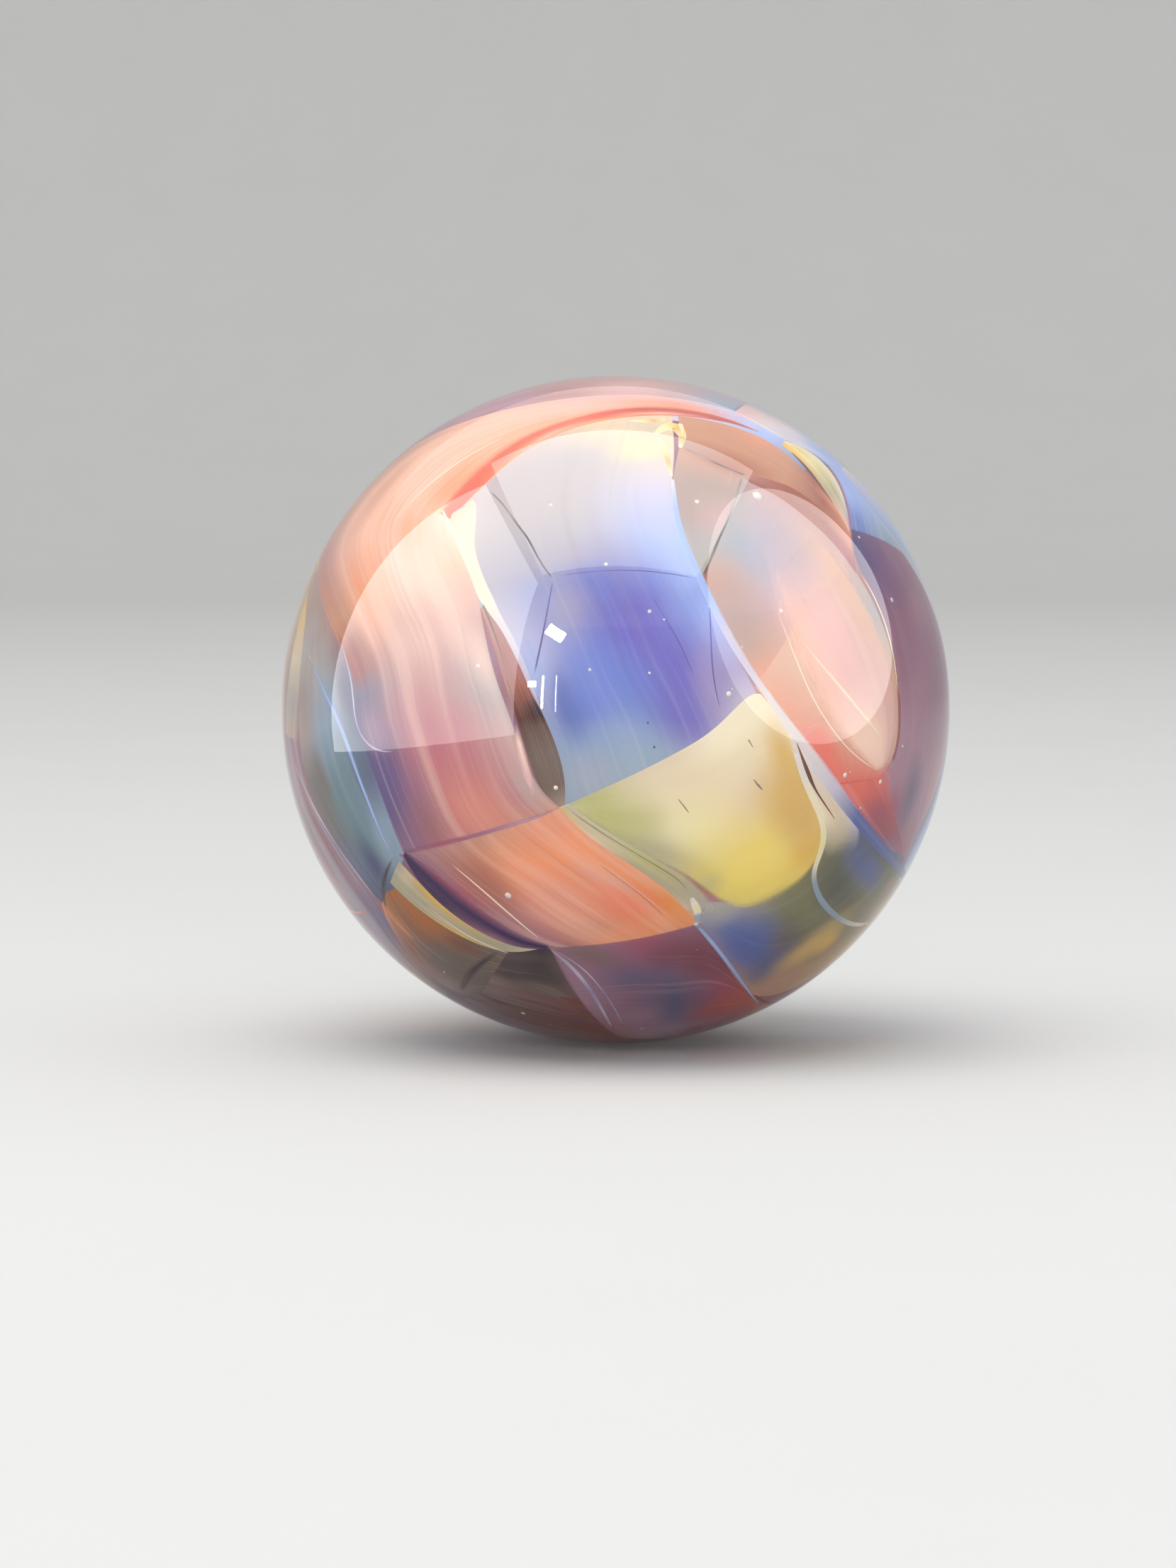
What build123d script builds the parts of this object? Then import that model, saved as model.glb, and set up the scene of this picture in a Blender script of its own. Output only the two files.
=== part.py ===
"""Handmade glass marble: one solid ball of glass.

The origin is the ball's centre and +Z is up. Millimetres throughout.
"""
import os

from build123d import *

MARBLE_DIAMETER = 38.1  # the large handmade size, one and a half inches

# The ball is turned about +Z from a half-round profile, so its outside is one spherical face.
with BuildPart() as marble:
    with BuildSketch(Plane.XZ) as half_round:
        with BuildLine() as outline:
            axis_line = Line((0, -MARBLE_DIAMETER / 2), (0, MARBLE_DIAMETER / 2))
            ThreePointArc(axis_line @ 0, (MARBLE_DIAMETER / 2, 0), axis_line @ 1)
        make_face()
    revolve(axis=Axis.Z)

marble.part.label = "marble"

os.makedirs("parts", exist_ok=True)
export_step(marble.part, "parts/marble.step")
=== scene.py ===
"""Glass marble: a clear ball with folded veils of opal colour under its surface."""
import math

import bpy
import numpy as np
from bpy.props import FloatProperty, FloatVectorProperty, IntProperty, PointerProperty
from mathutils import Matrix, Quaternion, Vector


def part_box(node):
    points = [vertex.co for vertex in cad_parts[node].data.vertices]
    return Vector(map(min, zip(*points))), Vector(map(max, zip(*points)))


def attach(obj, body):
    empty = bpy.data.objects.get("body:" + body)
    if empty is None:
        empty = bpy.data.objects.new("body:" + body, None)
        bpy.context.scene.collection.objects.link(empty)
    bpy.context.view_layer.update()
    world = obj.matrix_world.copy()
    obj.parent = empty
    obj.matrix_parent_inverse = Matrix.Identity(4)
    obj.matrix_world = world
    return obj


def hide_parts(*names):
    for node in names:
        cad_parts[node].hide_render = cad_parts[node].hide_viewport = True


bl_info = {
    "name": "Glass Marble",
    "version": (1, 0, 0),
    "blender": (4, 5, 0),
    "location": "View3D > Sidebar > Marble",
    "description": "Builds a clear glass ball with folded opal veils, threads and seed bubbles",
    "category": "Add Mesh",
}

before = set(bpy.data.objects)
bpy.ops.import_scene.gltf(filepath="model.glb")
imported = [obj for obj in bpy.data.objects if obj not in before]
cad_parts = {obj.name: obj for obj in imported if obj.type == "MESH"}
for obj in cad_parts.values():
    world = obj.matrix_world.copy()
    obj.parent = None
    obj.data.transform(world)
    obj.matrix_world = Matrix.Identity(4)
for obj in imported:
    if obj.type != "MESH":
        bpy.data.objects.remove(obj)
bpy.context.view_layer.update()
NODE = "marble"
BODY = "root"
LOW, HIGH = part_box(NODE)
RADIUS = (HIGH[2] - LOW[2]) / 2
FRONT_TILT = math.radians(2.85)
LIMB = math.radians(4.15)
SIGHT = 0.2632
GLASS_INDEX = 1.5
LENS = 105.8
SENSOR = 36.0
CAMERA_YAW = math.radians(0.343)
CAMERA_DIP = math.radians(0.920)

COLOURS = {
    "peach": (0.95, 0.76, 0.67), "pale_peach": (0.98, 0.86, 0.79), "salmon": (0.89, 0.61, 0.50),
    "orange": (0.93, 0.62, 0.45), "flame": (0.90, 0.58, 0.24), "coral": (0.92, 0.47, 0.40),
    "red": (0.74, 0.33, 0.29), "dark_red": (0.60, 0.28, 0.26), "rose": (0.74, 0.46, 0.50),
    "dusty_rose": (0.73, 0.55, 0.54), "dusty_peach": (0.86, 0.71, 0.62),
    "dusty_pink": (0.79, 0.66, 0.65), "pink": (0.91, 0.74, 0.72), "cream": (0.95, 0.91, 0.80),
    "beige": (0.89, 0.82, 0.71), "white": (0.89, 0.87, 0.87), "lilac_white": (0.81, 0.79, 0.86),
    "grey_lilac": (0.70, 0.68, 0.74), "grey": (0.70, 0.68, 0.67),
    "dove": (0.77, 0.74, 0.745), "sky": (0.66, 0.75, 0.94),
    "cornflower": (0.48, 0.55, 0.80), "violet": (0.47, 0.43, 0.73),
    "pale_violet": (0.66, 0.60, 0.75), "slate": (0.40, 0.40, 0.52), "steel": (0.42, 0.50, 0.58),
    "light_steel": (0.60, 0.67, 0.74), "teal": (0.44, 0.54, 0.57), "navy": (0.28, 0.30, 0.46),
    "lemon": (0.95, 0.86, 0.45), "pale_yellow": (0.94, 0.90, 0.70), "ochre": (0.86, 0.72, 0.44),
    "gold": (0.92, 0.74, 0.32), "olive": (0.52, 0.51, 0.36), "dark_olive": (0.35, 0.36, 0.32),
    "moss": (0.72, 0.72, 0.45), "khaki": (0.72, 0.69, 0.57), "cobalt": (0.38, 0.44, 0.68),
    "plum": (0.60, 0.43, 0.52), "mauve": (0.71, 0.56, 0.63), "raspberry": (0.66, 0.34, 0.42),
    "maroon": (0.51, 0.26, 0.31), "dark_brown": (0.38, 0.24, 0.21),
    "deep_violet": (0.20, 0.10, 0.32), "indigo": (0.42, 0.36, 0.54), "taupe": (0.68, 0.60, 0.57),
    "tan": (0.79, 0.60, 0.50), "terracotta": (0.66, 0.42, 0.36), "amber": (0.70, 0.42, 0.17),
    "smoke": (0.47, 0.40, 0.36), "soot": (0.24, 0.19, 0.22), "rust": (0.52, 0.28, 0.17),
}


# ---------------------------------------------------------------- sizes and colours

class MarbleSizes(bpy.types.PropertyGroup):
    """Sizes of the ball's inside; the outside comes from the frame."""
    # The heart is a core in deep glass colours with painted shade, standing for the dim depth seen
    # between the veils.
    heart: FloatProperty(name="Heart", default=0.955, min=0.3, max=0.96, subtype="FACTOR",
                         description="Radius of the smoky heart as a share of the ball's")
    sheet: FloatProperty(name="Sheet", default=0.00003, min=0.00001, max=0.0006, unit="LENGTH",
                         description="Thickness of a veil at its middle")
    sway: FloatProperty(name="Sway", default=0.00002, min=0.0, max=0.01, subtype="FACTOR",
                        description="How far a veil rises and falls, as a share of the radius")
    ripple: FloatProperty(name="Ripple", default=0.002, min=0.0, max=0.01, subtype="FACTOR",
                          description="How far the ball's skin dips, as a share of the radius")
    bubble: FloatProperty(name="Bubble", default=0.00017, min=0.00005, max=0.0005,
                          unit="LENGTH", description="Radius of a middling seed bubble")
    rows: IntProperty(name="Rows", default=90, min=20, max=200,
                      description="Rows of faces along a veil")


class MarbleColours(bpy.types.PropertyGroup):
    """Colours of the opal glass, as written for a screen."""
    __annotations__ = {
        key: FloatVectorProperty(name=key.replace("_", " ").capitalize(), default=value, size=3,
                                 min=0.0, max=1.0, subtype="COLOR_GAMMA",
                                 description="Opal glass colour: " + key.replace("_", " "))
        for key, value in COLOURS.items()}


def tone(name):
    """A named colour turned from screen values to light."""
    colour = getattr(bpy.context.scene.marble_colours, name)
    return tuple(c / 12.92 if c <= 0.04045 else ((c + 0.055) / 1.055) ** 2.4 for c in colour)


# ---------------------------------------------------------------- curves and surfaces

def bearings(points, depth, turn=0.0, roll=1.0):
    """Unit vectors from the ball's centre to points named by where they show on its face.

    A point is (right, up) in hundredths of the radius as the front shows it, or (right, up,
    turn) after walking turn degrees round the ball to its right; roll -1 turns the face upside
    down and walks the other way. The glass bends the sight line, so a point at the given depth
    (a share of the radius) lies nearer the line of sight than it shows: its angle from that
    line is asin(p) less the turn of the sight line p * LIMB, less asin(p / (n depth)) -
    asin(p / n), n being GLASS_INDEX.
    """
    rows = np.array([(p[0], p[1], p[2] if len(p) > 2 else 0.0) for p in points], float)
    flat = rows[:, :2] / 100 * roll
    out = np.hypot(flat[:, 0], flat[:, 1])
    p = np.minimum(out, 0.9995)
    angle = np.arcsin(p) - p * LIMB
    bent = p / GLASS_INDEX
    angle -= np.arcsin(np.minimum(bent / depth, 0.9999)) - np.arcsin(bent)
    safe = np.maximum(out, 1e-9)
    right, up, near = (np.sin(angle) * flat[:, 0] / safe, np.sin(angle) * flat[:, 1] / safe,
                       np.cos(angle))
    ahead = near * math.cos(FRONT_TILT) - up * math.sin(FRONT_TILT)
    height = near * math.sin(FRONT_TILT) + up * math.cos(FRONT_TILT)
    walk = np.radians(rows[:, 2] * roll + turn)
    return np.stack([right * np.cos(walk) + ahead * np.sin(walk),
                     right * np.sin(walk) - ahead * np.cos(walk), height], axis=1)


def read_line(text):
    """Points from words: "12 34, 56 78" gives (12, 34) and (56, 78)."""
    return [tuple(float(w) for w in item.split()) for item in text.split(",")]


def flow(values, at):
    """A smooth run through a list of values: a uniform cubic B-spline with mirrored ends.

    Each span blends four neighbours with weights (1-f)^3, 3f^3-6f^2+4, -3f^3+3f^2+3f+1 and f^3,
    all over six, where f is the share of the span.
    """
    v = np.asarray(values, float)
    v = v[:, None] if v.ndim == 1 else v
    v = np.concatenate([2 * v[:1] - v[1:2], v, 2 * v[-1:] - v[-2:-1]])
    x = np.clip(np.asarray(at, float), 0, 1) * (len(v) - 3)
    i = np.minimum(x.astype(int), len(v) - 4)
    f = (x - i)[:, None]
    return ((1 - f) ** 3 * v[i] + (3 * f ** 3 - 6 * f ** 2 + 4) * v[i + 1]
            + (-3 * f ** 3 + 3 * f ** 2 + 3 * f + 1) * v[i + 2] + f ** 3 * v[i + 3]) / 6


def unit(v):
    """Vectors brought to length one."""
    return v / np.linalg.norm(v, axis=-1, keepdims=True)


def closed_sheet(near, far, depth, thick, sway=0.0, phase=0.0, across=14):
    """Verts, quads, tips and UVs of a thin closed sheet between two edges.

    near and far are unit vectors along the two edges. Across the sheet the profile is a flat
    lens: at ring angle a the share across is s = (1 - cos a) / 2 and the height is half the
    thickness times sin a. Its radius runs as a parabola through the three depths (near edge,
    middle, far edge), plus a slow sine sway along it. Both ends are closed by a strip.
    """
    rows = len(near)
    t = np.linspace(0, 1, rows)[:, None]
    ring = np.linspace(0, 2 * np.pi, 2 * across, endpoint=False)[None, :]
    s = (1 - np.cos(ring)) / 2
    aim = unit(near[:, None, :] * (1 - s)[..., None] + far[:, None, :] * s[..., None])
    a, m, b = depth
    radius = a * (1 - s) * (1 - 2 * s) + m * 4 * s * (1 - s) + b * s * (2 * s - 1)
    radius = radius + sway * np.sin(2 * np.pi * (1.3 * t + 0.6 * s) + phase)
    taper = np.minimum(1, 12 * np.minimum(t, 1 - t) + 0.15)
    radius = radius * RADIUS + thick / 2 * np.sin(ring) * taper
    verts = (aim * radius[..., None]).reshape(-1, 3)
    uv = np.stack(np.broadcast_arrays(s, t), axis=-1).reshape(-1, 2)
    n = 2 * across
    i = np.arange(rows - 1)[:, None] * n
    j = np.arange(n)[None, :]
    k = (j + 1) % n
    wall = np.stack([i + j, i + k, i + n + k, i + n + j], axis=-1).reshape(-1, 4)
    c = np.arange(1, across - 1)
    cap = np.stack([c, n - c, n - c - 1, c + 1], axis=-1)
    tip = np.array([[0, n - 1, 1], [across, across - 1, across + 1]])
    last = (rows - 1) * n
    return (verts, np.concatenate([wall, cap, cap[:, ::-1] + last]),
            np.concatenate([tip, tip[:, ::-1] + last]), uv)


def ribbon(points, widths, depth, thick, turn=0.0, roll=1.0, rows=60):
    """A closed sheet along a line: its edges lie a width to each side, square to the line."""
    at = np.linspace(0, 1, rows)
    mid = unit(flow(bearings(points, depth, turn, roll), at))
    side = unit(np.cross(mid, np.gradient(mid, axis=0)))
    wide = flow(widths, at) / 100
    return closed_sheet(unit(mid + side * wide), unit(mid - side * wide),
                        (depth, depth, depth), thick, across=4)


def ball_surface(radius, columns, rows, ripple=0.0):
    """Verts, quads, tips and UVs of a ball: longitude by latitude, with a closed pole each end.

    The radius is lowered by ripple times a slow sum of sines of the direction, never raised.
    """
    lat = np.linspace(-np.pi / 2, np.pi / 2, rows + 1)[1:-1, None]
    lon = np.linspace(0, 2 * np.pi, columns, endpoint=False)[None, :]
    aim = np.stack(np.broadcast_arrays(np.cos(lat) * np.sin(lon), -np.cos(lat) * np.cos(lon),
                                       np.sin(lat) + 0 * lon), axis=-1).reshape(-1, 3)
    aim = np.concatenate([aim, [[0, 0, -1], [0, 0, 1]]])
    x, y, z = aim.T
    wave = (np.sin(2.1 * x + 3.3 * z + 0.6) + np.sin(3.7 * y - 1.9 * x + 1.4)
            + np.sin(4.3 * z + 2.7 * y + 2.2)) / 6 + 0.5
    verts = aim * (radius * (1 - ripple * wave))[:, None]
    n, count = columns, columns * (rows - 1)
    i = np.arange(rows - 2)[:, None] * n
    j = np.arange(n)[None, :]
    k = (j + 1) % n
    quads = np.stack([i + j, i + k, i + n + k, i + n + j], axis=-1).reshape(-1, 4)
    j, k = j[0], k[0]
    south = np.stack([k, j, np.full(n, count)], axis=-1)
    top = (rows - 2) * n
    north = np.stack([top + j, top + k, np.full(n, count + 1)], axis=-1)
    uv = np.stack([np.arctan2(x, -y) / (2 * np.pi) + 0.5, np.arcsin(z) / np.pi + 0.5], axis=-1)
    return verts, quads, np.concatenate([south, north]), uv


def sum_volume(mesh):
    """Signed volume of a closed mesh: the sum over its triangles of a . (b x c) / 6."""
    mesh.calc_loop_triangles()
    tri = np.empty(len(mesh.loop_triangles) * 3, np.int32)
    mesh.loop_triangles.foreach_get("vertices", tri)
    co = np.empty(len(mesh.vertices) * 3, np.float32)
    mesh.vertices.foreach_get("co", co)
    a, b, c = co.reshape(-1, 3).astype(float)[tri.reshape(-1, 3)].transpose(1, 0, 2)
    return float(np.einsum("ij,ij->i", a, np.cross(b, c)).sum() / 6)


def crease_rims(mesh, across):
    """Keeps the two long rims of closed sheets crisp: ring places 0 and across of each row."""
    ends = np.empty(len(mesh.edges) * 2, np.int32)
    mesh.edges.foreach_get("vertices", ends)
    spot = ends.reshape(-1, 2) % (2 * across)
    rim = (spot[:, 0] == spot[:, 1]) & (spot[:, 0] % across == 0)
    mesh.attributes.new("sharp_edge", "BOOLEAN", "EDGE").data.foreach_set("value", rim)


def make_piece(name, parts, material, across=0):
    """One smooth mesh object from several sets of verts, quads, tips and UVs, on the ball.

    across is the number of faces across each sheet, if its rims are to stay crisp.
    """
    verts = np.concatenate([p[0] for p in parts])
    start = np.cumsum([0] + [len(p[0]) for p in parts])[:-1]
    quads = np.concatenate([p[1] + o for p, o in zip(parts, start)])
    tips = np.concatenate([p[2] + o for p, o in zip(parts, start)])
    uvs = np.concatenate([p[3] for p in parts])
    corners = np.concatenate([quads.ravel(), tips.ravel()]).astype(np.int32)
    sizes = np.concatenate([np.full(len(quads), 4), np.full(len(tips), 3)]).astype(np.int32)
    mesh = bpy.data.meshes.new(name)
    mesh.vertices.add(len(verts))
    mesh.vertices.foreach_set("co", verts.astype(np.float32).ravel())
    mesh.loops.add(len(corners))
    mesh.loops.foreach_set("vertex_index", corners)
    mesh.polygons.add(len(sizes))
    mesh.polygons.foreach_set("loop_start", (np.cumsum(sizes) - sizes).astype(np.int32))
    mesh.update(calc_edges=True)
    layer = mesh.uv_layers.new(name="flow")
    layer.data.foreach_set("uv", uvs[corners].astype(np.float32).ravel())
    mesh.polygons.foreach_set("use_smooth", np.full(len(sizes), True))
    mesh.validate()
    if sum_volume(mesh) < 0:
        mesh.flip_normals()
    if across:
        crease_rims(mesh, across)
    mesh.materials.append(material)
    mesh.update()
    obj = bpy.data.objects.new(name, mesh)
    bpy.context.scene.collection.objects.link(obj)
    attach(obj, BODY)
    # thin sheets fused in glass don't shade each other
    obj.visible_shadow = obj.visible_diffuse = not across
    return obj


# ---------------------------------------------------------------- shader maths

class Wire:
    """A node's output that sums, differences and products can be written with."""

    def __init__(self, tree, socket):
        self.tree, self.socket = tree, socket

    def maths(self, operation, a, b):
        return self.tree.node("ShaderNodeMath", {"operation": operation}, [a, b])

    def __add__(self, other):
        return self.maths("ADD", self, other)

    def __radd__(self, other):
        return self.maths("ADD", other, self)

    def __sub__(self, other):
        return self.maths("SUBTRACT", self, other)

    def __rsub__(self, other):
        return self.maths("SUBTRACT", other, self)

    def __mul__(self, other):
        return self.maths("MULTIPLY", self, other)

    def __rmul__(self, other):
        return self.maths("MULTIPLY", other, self)


class Tree:
    """The nodes of one new material."""

    def __init__(self, name):
        self.material = bpy.data.materials.new(name)
        self.material.use_nodes = True
        self.nodes = self.material.node_tree.nodes
        self.links = self.material.node_tree.links
        self.nodes.clear()

    def node(self, kind, settings=None, values=None, out=0):
        """Adds a node: its settings first, then the values or links of its sockets."""
        n = self.nodes.new(kind)
        for key, value in (settings or {}).items():
            if key == "stops":
                ramp = n.color_ramp
                while len(ramp.elements) < len(value):
                    ramp.elements.new(0.5)
                for element, (at, colour) in zip(ramp.elements, value):
                    element.position = at
                for element, (at, colour) in zip(ramp.elements, value):
                    element.color = (*colour[:3], 1.0)
            else:
                setattr(n, key, value)
        items = values.items() if isinstance(values, dict) else enumerate(values or [])
        for key, value in items:
            if isinstance(value, Wire):
                self.links.new(value.socket, n.inputs[key])
            else:
                n.inputs[key].default_value = value
        return Wire(self, n.outputs[out]) if len(n.outputs) else None

    def blend(self, share, a, b):
        """Colour a turned to colour b by a share."""
        wide = [(*c, 1.0) if isinstance(c, tuple) else c for c in (a, b)]
        return self.node("ShaderNodeMix", {"data_type": "RGBA"},
                         {0: share, 6: wide[0], 7: wide[1]}, out=2)

    def rise(self, value, low, high, a=0.0, b=1.0):
        """A smooth step of value from a at low to b at high."""
        return self.node("ShaderNodeMapRange", {"interpolation_type": "SMOOTHSTEP"},
                         [value, low, high, a, b])

    def place(self):
        """The piece's own coordinates."""
        return self.node("ShaderNodeTexCoord", None, None, out=3)

    def split(self, vector, part):
        """One number of a vector."""
        return self.node("ShaderNodeSeparateXYZ", None, [vector], out=part)

    def join(self, x, y, z=0.0):
        """A vector from three numbers."""
        return self.node("ShaderNodeCombineXYZ", None, [x, y, z])

    def noise(self, vector, scale=1.0, detail=2.0):
        """Noise about one half."""
        return self.node("ShaderNodeTexNoise", None,
                         {"Vector": vector, "Scale": scale, "Detail": detail})

    def stain(self, colour, place, text, depth, turn=0.0, roll=1.0):
        """Soft spots of colour under the skin, from words: "violet 12 27 13 .8; ...".

        A spot is a colour, where it shows, how far it reaches and its share; a long one has two
        ends: "violet 12 27 20 9 13 .8". It fades out as a smooth step over an ellipsoid.
        """
        for item in filter(None, (w.split() for w in text.split(";"))):
            *ends, size, share = [float(w) for w in item[1:]]
            ends = [tuple(ends[:2]), tuple(ends[-2:])]
            a, b = (Vector(v * depth * RADIUS) for v in bearings(ends, depth, turn, roll))
            reach = size / 100 * RADIUS
            along = b - a
            turned = along.to_track_quat("X", "Z") if along.length > 1e-6 else Quaternion()
            ball = self.node("ShaderNodeMapping", {"vector_type": "TEXTURE"}, {
                "Vector": place, "Location": (a + b) / 2, "Rotation": turned.to_euler("XYZ"),
                "Scale": (reach + along.length / 2, reach, reach)})
            away = self.node("ShaderNodeVectorMath", {"operation": "LENGTH"}, [ball], out=1)
            colour = self.blend(self.rise(away, 0.0, 1.35, share, 0.0), colour, tone(item[0]))
        return colour

    def finish(self, shader):
        """Sends the shader to the output and gives the material."""
        self.node("ShaderNodeOutputMaterial", None, {"Surface": shader})
        return self.material


def run_of(text):
    """Ramp stops from words: "peach, coral .4, red" spreads the unplaced ones evenly."""
    words = [w.split() for w in text.split(",")]
    last = max(len(words) - 1, 1)
    return [(float(w[1]) if len(w) > 1 else i / last, tone(w[0])) for i, w in enumerate(words)]


def opal(name, runs, depth=0.95, stains="", ink="pale_peach", share=0.25, count=5.0, hair=0.05,
         soft="0 0 0 0", seed=0.0, turn=0.0, roll=1.0):
    """Opal glass drawn out along its sheet.

    runs are up to three runs of colour, along the near edge, the middle and the far edge, with
    a stroke between them. ink streaks it by a share, count of them across; hair is the share of
    the finest light and dark lines. soft is how far the near edge, the far edge, the start and
    the end fade out.
    """
    t = Tree(name)
    uv = t.node("ShaderNodeTexCoord", out=2)
    s, a = t.split(uv, 0), t.split(uv, 1)
    place = t.place()
    drift = t.noise(place, 130.0, 1.0) - 0.5
    across, along = s + drift * 0.10, a + drift * 0.06
    ramps = [t.node("ShaderNodeValToRGB", {"stops": run_of(c)}, [along])
             for c in runs.split("/")]
    colour = ramps[0]
    if len(ramps) == 2:
        colour = t.blend(t.rise(across, 0.0, 1.0), *ramps)
    elif len(ramps) == 3:
        colour = t.blend(t.rise(across, 0.0, 0.5), ramps[0], ramps[1])
        colour = t.blend(t.rise(across, 0.5, 1.0), colour, ramps[2])
    bent = t.node("ShaderNodeVectorMath", {"operation": "SCALE"},
                  {0: t.node("ShaderNodeTexNoise", None,
                             {"Vector": place, "Scale": 160.0, "Detail": 1.0}, out=1),
                   "Scale": 0.0016})
    moved = t.node("ShaderNodeVectorMath", {"operation": "ADD"}, [place, bent])
    moved = t.node("ShaderNodeVectorMath", {"operation": "SUBTRACT"}, [moved, (0.0008,) * 3])
    colour = t.stain(colour, moved, stains, depth, turn, roll)
    if share:
        threads = t.noise(t.join(across * count, along * 0.9, seed), 1.0, 2.0)
        colour = t.blend(t.rise(threads, 0.45, 0.78) * share, colour, tone(ink))
    if hair:
        light = t.noise(t.join(across * count * 6.0, along * 1.3, seed + 3.0), 1.0, 1.0)
        colour = t.blend(t.rise(light, 0.5, 0.8) * (hair * 2.4), colour, tone("white"))
        dark = t.noise(t.join(across * count * 4.0, along * 1.1, seed + 6.0), 1.0, 1.0)
        colour = t.blend(t.rise(dark, 0.5, 0.8) * (hair * 1.6), colour, tone("smoke"))
    values = {"Base Color": colour, "Roughness": 0.6, "Specular IOR Level": 0.0}
    fade = None
    for edge, width in zip((across, 1.0 - across, a, 1.0 - a), soft.split()):
        if float(width):
            step = t.rise(edge, 0.0, float(width))
            fade = step if fade is None else fade * step
    if fade is not None:
        values["Alpha"] = fade * (1.0 - t.node("ShaderNodeNewGeometry", out=6))
    return t.finish(t.node("ShaderNodeBsdfPrincipled", None, values))


# ---------------------------------------------------------------- the veils

FRONT, ROUND, THREADS = {}, {}, {}
SQUEEZE = 0.15
TOP_VEIL = 0.987
TOP_THREAD = 0.9868
SEED_DEPTH = 0.976


def veil(group, name, near, far, depth, runs, **how):
    """Notes a veil: its two edges, its three depths in hundredths, and its glass."""
    group[name] = (near, far, [TOP_VEIL - (TOP_VEIL - d / 100) * SQUEEZE for d in depth], runs, how)


def thread(name, depth, colours, soft, *lines):
    """Notes a bundle of threads: each is a line of points and its half widths along it."""
    THREADS[name] = (TOP_THREAD + (depth / 100 - 0.98) * 0.1, colours, soft, lines)


veil(FRONT, "top_rim",
     "66 62 180, 48 74 180, 28 83 180, 8 86 180, -12 85 180, -30 80 180, -46 72 180",
     "-66 75, -51 83.5, -38 88.5, -20 92.5, 0 94.5, 18 94, 36 90", (95, 96, 96),
     "plum, plum, mauve, dusty_rose, mauve/plum, mauve, dusty_rose, dusty_pink, grey_lilac",
     ink="dusty_pink", share=0.3, seed=1.1,
     stains="mauve -30 93 10 .8; pink 2 97 12 .5; light_steel 35 91 12 .8")

veil(FRONT, "salmon_sweep",
     "43 87, 30 91, 15 94.5, 0 95, -20 93, -38 89, -52 84, -64 77, -73 69, -81 59, -88 48,"
     "-90 38, -87 28, -83 18, -80 11, -79 4, -79 -3, -76 -12, -73 -21, -70 -30, -67 -38,"
     "-64.5 -43.5",
     "42 84.5, 33 87, 20 89, 5 89, -10 86.5, -22 82, -33 75, -41 67, -49 59, -48 53, -45 46,"
     "-43 39, -41.5 31, -39.5 20, -37 10, -34 2, -30.5 -8, -27 -18, -22.5 -25.5, -16.5 -30.5",
     (96.5, 97.2, 95.5),
     "salmon, pink, pink, peach, tan, tan, dusty_rose, tan .58, dark_red .66, slate .71,"
     "indigo .78, indigo .9, plum/"
     "coral, salmon, peach, peach, peach .4, peach .5, dusty_peach .58, dusty_rose .7, rose .8,"
     "rose .9, rose/"
     "red, orange .2, peach .4, pale_peach .45, peach .55, dusty_pink .65, grey .76,"
     "dusty_pink .84, dusty_rose .94, tan",
     ink="pale_peach", share=0.35, count=8, hair=0.09, soft="0 0 .1 0", seed=1.0,
     stains="orange -78 44 -74 28 9 .8; orange -66 60 -58 52 8 .5; dark_red -81 20 -80 13 5 .9;"
            "orange -54 62 -44 74 7 .7; pink -30 88 0 92 5 .6; tan -64 73 -76 58 6 .5;"
            "pale_peach -60 42 12 .4; salmon -46 -27 -40 -33 12 .8; rose -48 -10 -45 -20 14 .6;"
            "plum -60 -25 -57 -38 9 .7; indigo -71 -14 -69 -24 8 .8; terracotta -55 -36 9 .4;"
            "grey -27 -20 -24 -27 4 .5; pink -60 22 13 .3; pale_peach -56 44 -44 14 6 .5;"
            "pale_peach -43 24 -38 8 4 .5; mauve -74 -4 -72 -9 6 .6")

veil(FRONT, "coral_streak",
     "-54 60, -50 67, -44 73, -36 79.5, -25 85, -12 89, 0 91.5, 14 92, 26 90.3, 36 87.3, 43 84",
     "-50 58, -44 64, -38 70, -31 76, -22 82, -11 86.5, 0 88.8, 12 89.3, 24 88.6, 34 86.6, 43 83.8",
     (97.6, 97.8, 97.6),
     "orange, orange, orange, coral, coral, red/coral, coral, coral, coral, red, red, dark_red/"
     "coral, coral, orange, peach, coral, peach, red, orange",
     ink="orange", share=0.5, count=3, soft=".45 .06 0 0", seed=1.5)

veil(FRONT, "peach_tongue",
     "-52.5 60.5, -49 54, -46 47.5, -43 41, -41 36, -39.5 32",
     "-49 60, -42 66, -42.5 57, -43.5 50, -41 42, -37.5 34", (97.2, 97.4, 97.2),
     "peach, pale_peach, pale_peach, cream, cream/peach, pale_peach, pale_peach, cream",
     ink="white", share=0.3, count=3, seed=1.7)

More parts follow.
